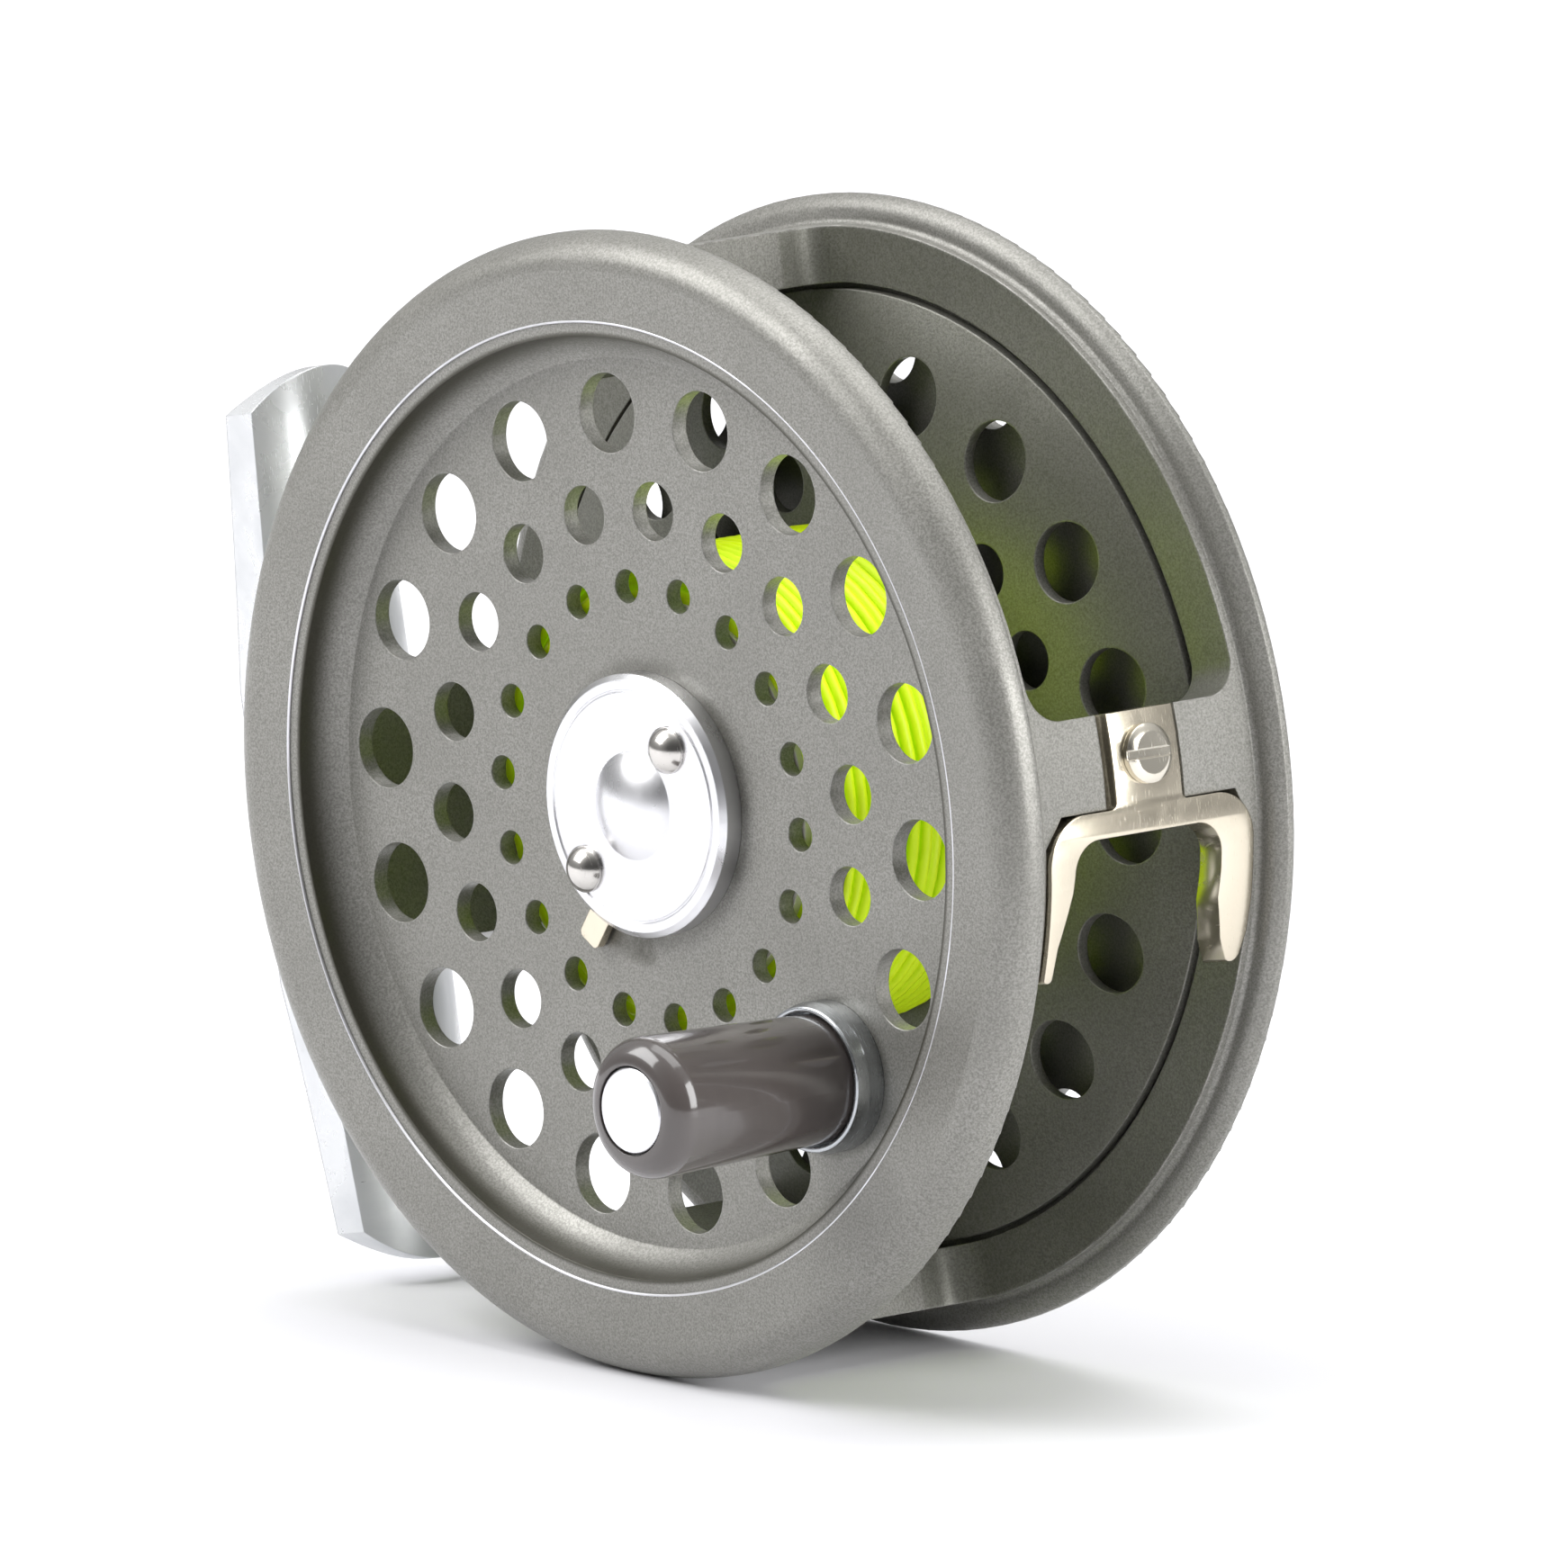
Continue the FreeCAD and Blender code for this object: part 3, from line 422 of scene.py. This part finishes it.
# grime at the latch gate, with painted shade around the hub cover, at the ferrule's base and in the recess under
# the lip
def enamelGrimeAndShade(tree, values, reach, depth, angle, knobReach, smear):
    onFace = within(tree, depth, *values["faceDepth"])
    patches = ramp(tree, smear, *values["patchRange"], values["patchLow"], 1.0)
    hub = within(tree, reach, *values["hubBand"])
    ferrule = within(tree, knobReach, *values["ferruleBand"])
    grimeAndShade = times(tree, within(tree, reach, *values["gateBand"]),
                 within(tree, angle, *values["gateAngle"]))
    # painted shade rings below the hub cover and at the ferrule's base
    for one, amount in ((hub, values["hubShade"]), (ferrule, values["ferruleShade"])):
        grimeAndShade = math2(tree, "MAXIMUM", grimeAndShade, times(tree, one, amount))
    grimeAndShade = times(tree, times(tree, grimeAndShade, patches), onFace)
    # painted shade in the recess under the lip, deepest near the wall
    underLip = times(tree, within(tree, reach, *values["lipBand"]),
                     ramp(tree, depth, *values["lipDepth"], 0.0, values["lipShade"]))
    return math2(tree, "MAXIMUM", grimeAndShade, times(tree, underLip, onFace))


def enamel(values):
    material, tree, shader = newMaterial("greyEnamel", {
        "Metallic": values["metallic"], "Coat Weight": values["coat"],
        "Coat Roughness": values["coatRoughness"]})
    grain = useGroup(tree, grainGroup, {"Scale": values["grainScale"]})
    edge = useGroup(tree, edgeGroup, {"Radius": values["edgeRadius"],
                                      "Breakup": values["edgeBreakup"]})
    smear = useGroup(tree, smudgeGroup, {"Scale": values["handlingScale"]}).outputs["Smear"]
    spindle = useGroup(tree, aroundGroup, {"Centre": tuple(axis)})
    knob = useGroup(tree, aroundGroup, {"Centre": tuple(joints["knob_spin"]["pos_m"])})
    reach, depth = spindle.outputs["Reach"], spindle.outputs["Depth"]
    base = mix(tree, grain.outputs["Speckle"], values["dark"], values["light"])
    cloudy = mix(tree, times(tree, grain.outputs["Cloud"], values["cloud"]), base, values["dark"])
    worn = mix(tree, times(tree, edge.outputs["Wear"], values["edgeWear"]), cloudy, values["worn"])
    # painted shade inside the bay, olive-tinted, darker than its lamps make it
    bay = times(tree, within(tree, depth, *values["bayDepth"]), values["bayShadeAmount"])
    bay = times(tree, bay, ramp(tree, reach, *values["bayReach"], 1.0, 0.0))
    bayShaded = mix(tree, bay, worn, values["bayShade"])
    grimeAndShade = enamelGrimeAndShade(tree, values, reach, depth, spindle.outputs["Angle"],
                      knob.outputs["Reach"], smear)
    # darkens the colour with grime at the gate and with painted shade
    tree.links.new(mix(tree, grimeAndShade, bayShaded, values["grimeShadeColor"]), shader.inputs["Base Color"])
    tree.links.new(ramp(tree, smear, 0, 1, *values["roughness"]), shader.inputs["Roughness"])
    bump = add(tree, "ShaderNodeBump", {"Height": grain.outputs["Speckle"],
                                        "Normal": edge.outputs["Normal"],
                                        "Strength": values["bump"],
                                        "Distance": values["bumpHeight"]})
    tree.links.new(bump.outputs[0], shader.inputs["Normal"])
    return material


metalSet = {
    "handlingScale": 80.0,
    "smear": 0.5,
    "dullShare": 0.8,
    "smearRoughness": (0.85, 1.25),
    "edgeRadius": 0.15 * mm,
    "edgeBreakup": 900.0,
    "bump": 0.1,
    "bumpHeight": 0.03 * mm,
}


def metal(name, color, roughness, tint=None, scratch=0.15, metallic=1.0):
    values = metalSet
    material, tree, shader = newMaterial(name, {"Metallic": metallic})
    smudge = useGroup(tree, smudgeGroup, {"Scale": values["handlingScale"]})
    edge = useGroup(tree, edgeGroup, {"Radius": values["edgeRadius"],
                                      "Breakup": values["edgeBreakup"]})
    smear = smudge.outputs["Smear"]
    dull = tint or tuple(values["dullShare"] * part for part in color)
    tree.links.new(mix(tree, times(tree, smear, values["smear"]), color, dull),
                   shader.inputs["Base Color"])
    marks = times(tree, smudge.outputs["Scratch"], scratch)
    low, high = (roughness * share for share in values["smearRoughness"])
    tree.links.new(math2(tree, "ADD", ramp(tree, smear, 0, 1, low, high), marks),
                   shader.inputs["Roughness"])
    bump = add(tree, "ShaderNodeBump", {"Height": marks, "Normal": edge.outputs["Normal"],
                                        "Strength": values["bump"],
                                        "Distance": values["bumpHeight"]})
    tree.links.new(bump.outputs[0], shader.inputs["Normal"])
    return material


plasticSet = {
    "handlingScale": 70.0,
    "smearRoughness": 1.6,
    "coatRoughness": 0.06,
    "edgeRadius": 0.2 * mm,
    "edgeBreakup": 900.0,
}


def plastic(name, color, second, roughness, coat=0.0, glow=None, glowStrength=0.0):
    values = plasticSet
    material, tree, shader = newMaterial(name, {"Coat Weight": coat,
                                                "Coat Roughness": values["coatRoughness"]})
    # an emission that brightens the part: painted light
    if glow:
        shader.inputs["Emission Color"].default_value = (*glow, 1)
        shader.inputs["Emission Strength"].default_value = glowStrength
    smudge = useGroup(tree, smudgeGroup, {"Scale": values["handlingScale"]})
    edge = useGroup(tree, edgeGroup, {"Radius": values["edgeRadius"],
                                      "Breakup": values["edgeBreakup"]})
    smear = smudge.outputs["Smear"]
    tree.links.new(mix(tree, smear, color, second), shader.inputs["Base Color"])
    rough = ramp(tree, smear, 0, 1, roughness, roughness * values["smearRoughness"])
    tree.links.new(rough, shader.inputs["Roughness"])
    tree.links.new(edge.outputs["Normal"], shader.inputs["Normal"])
    return material


# one finish for each slot

materials = {
    "enamel": enamel(enamelSet),
    "nickel_silver": metal("nickelSilver", (0.68, 0.62, 0.50), 0.22),
    "nickel_screw": metal("nickelScrew", (0.70, 0.66, 0.57), 0.2),
    "polished_alloy": metal("polishedAlloy", (0.71, 0.72, 0.73), 0.3, tint=(0.56, 0.58, 0.60),
                            scratch=0.2, metallic=0.6),
    "bright_alloy": metal("brightAlloy", (0.80, 0.80, 0.82), 0.3, scratch=0.08),
    "satin_alloy": metal("satinAlloy", (0.62, 0.62, 0.62), 0.35),
    "brass": metal("brassParts", (0.70, 0.50, 0.20), 0.25),
    "bronze": metal("bronzeBush", (0.52, 0.33, 0.17), 0.3),
    "steel": metal("steelParts", (0.62, 0.60, 0.57), 0.2),
    "spring_steel": metal("springSteel", (0.30, 0.31, 0.34), 0.3),
    "backing": plastic("backingBraid", (0.8, 0.78, 0.7), (0.7, 0.68, 0.6), 0.6),
    # the lime line gets a faint emission of its own: painted light that brightens it
    "lime_line": plastic("limeLine", (0.70, 0.92, 0.003), (0.62, 0.85, 0.002), 0.45,
                         glow=(0.62, 0.90, 0.003), glowStrength=0.07),
    "knob_plastic": plastic("knobPlastic", (0.078, 0.067, 0.063), (0.068, 0.059, 0.056), 0.15,
                            coat=0.6),
}
handledAlloy = metal("handledAlloy", (0.50, 0.52, 0.54), 0.26, tint=(0.34, 0.35, 0.37),
                     scratch=0.2)
wornEdge = metal("wornEdge", (0.74, 0.74, 0.78), 0.34, tint=(0.40, 0.40, 0.38), scratch=0.1)
slotOf = {entry["node"]: entry["material_slot"] for entry in frame["record"]["subparts"]}
for name, item in nodes.items():
    item.data.materials.clear()
    item.data.materials.append(materials[slotOf[name]])
nodes["handle_ferrule"].data.materials[0] = handledAlloy
print("materials done")


# the polished edge where the rim meets the spool's lip

lipSet = {
    "reach": 39.02 * mm,
    "depth": -3.52 * mm,
    "half": 0.14 * mm,
    "tall": 0.15 * mm,
    "corners": 10,
    "steps": 240,
    "merge": 1e-7,
}


def lipEdge(values):
    bm = bmesh.new()
    loop = []
    for index in range(values["corners"]):
        turn = 2 * math.pi * index / values["corners"]
        reach = values["reach"] + values["half"] * math.cos(turn)
        depth = values["depth"] + values["tall"] * math.sin(turn)
        loop.append(bm.verts.new((axis.x + reach, axis.y + depth, axis.z)))
    edges = [bm.edges.new((loop[i - 1], loop[i])) for i in range(len(loop))]
    bmesh.ops.spin(bm, geom=loop + edges, cent=axis, axis=(0, 1, 0), angle=2 * math.pi,
                   steps=values["steps"], use_merge=True, use_duplicate=False)
    bmesh.ops.remove_doubles(bm, verts=bm.verts, dist=values["merge"])
    bmesh.ops.recalc_face_normals(bm, faces=bm.faces)
    meshPiece(bm, "lip_edge", "spool", "bright_alloy", wornEdge)


lipEdge(lipSet)
print("lip edge done")


# the line guard, with its legs rounded

guardSet = {
    "width": 0.42 * mm,
    "segments": 3,
    "sharp": 32.0,      # degrees between the faces of an edge that gets rounded
    "flat": 1.0,
    "merge": 1e-6,
}


def roundedGuard(values):
    bm = bmesh.new()
    bm.from_mesh(nodes["line_guard"].data)
    bmesh.ops.remove_doubles(bm, verts=bm.verts, dist=values["merge"])
    bmesh.ops.dissolve_limit(bm, angle_limit=math.radians(values["flat"]), verts=bm.verts,
                             edges=bm.edges)
    sharp = [edge for edge in bm.edges if edge.is_manifold
             and edge.calc_face_angle() > math.radians(values["sharp"])]
    bmesh.ops.bevel(bm, geom=sharp, offset=values["width"], offset_type="OFFSET", affect="EDGES",
                    segments=values["segments"], profile=0.5, clamp_overlap=True, material=-1)
    meshPiece(bm, "rounded_guard", "frame", "nickel_silver", materials["nickel_silver"],
              "line_guard")


roundedGuard(guardSet)
print("guard done")


# the fly line, wound on the spool in uneven turns

lineSet = {
    "diameter": 1.1 * mm,
    "roundness": 2,
    "layers": 4,
    "nesting": 0.9,         # a layer sinks into the one below it
    "endRoom": 1.05,
    "pointsPerTurn": 48,
    "turnGap": 1.16 * mm,
    "wander": 0.28 * mm,
    "seed": 5,
}


def woundLine(values):
    low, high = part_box("fly_line")
    outer = (high.x - low.x) / 2
    radius = values["diameter"] / 2
    front = low.y + radius * values["endRoom"]
    back = high.y - radius * values["endRoom"]
    random.seed(values["seed"])
    turns = int((back - front) / values["turnGap"])
    data = bpy.data.curves.new("woundLine", "CURVE")
    data.dimensions = "3D"
    data.bevel_depth = radius
    data.bevel_resolution = values["roundness"]
    for layer in range(values["layers"]):
        reach = outer - radius - layer * values["diameter"] * values["nesting"]
        points = []
        count = turns * values["pointsPerTurn"]
        offsets = [random.uniform(-1, 1) * values["wander"] for _ in range(turns + 2)]
        for step in range(count + 1):
            turn = step / values["pointsPerTurn"]
            along = turn / turns if layer % 2 == 0 else 1 - turn / turns
            whole = int(turn)
            drift = offsets[whole] * (1 - turn + whole) + offsets[whole + 1] * (turn - whole)
            angle = 2 * math.pi * turn + layer
            y = min(max(front + (back - front) * along + drift, front), back)
            points.append((axis.x + reach * math.cos(angle), y, axis.z + reach * math.sin(angle)))
        spline = data.splines.new("POLY")
        spline.points.add(len(points) - 1)
        for point, place in zip(spline.points, points):
            point.co = (*place, 1)
    pieceFrom("wound_line", data, "spool", "lime_line", materials["lime_line"], "fly_line")


woundLine(lineSet)
print("fly line done")
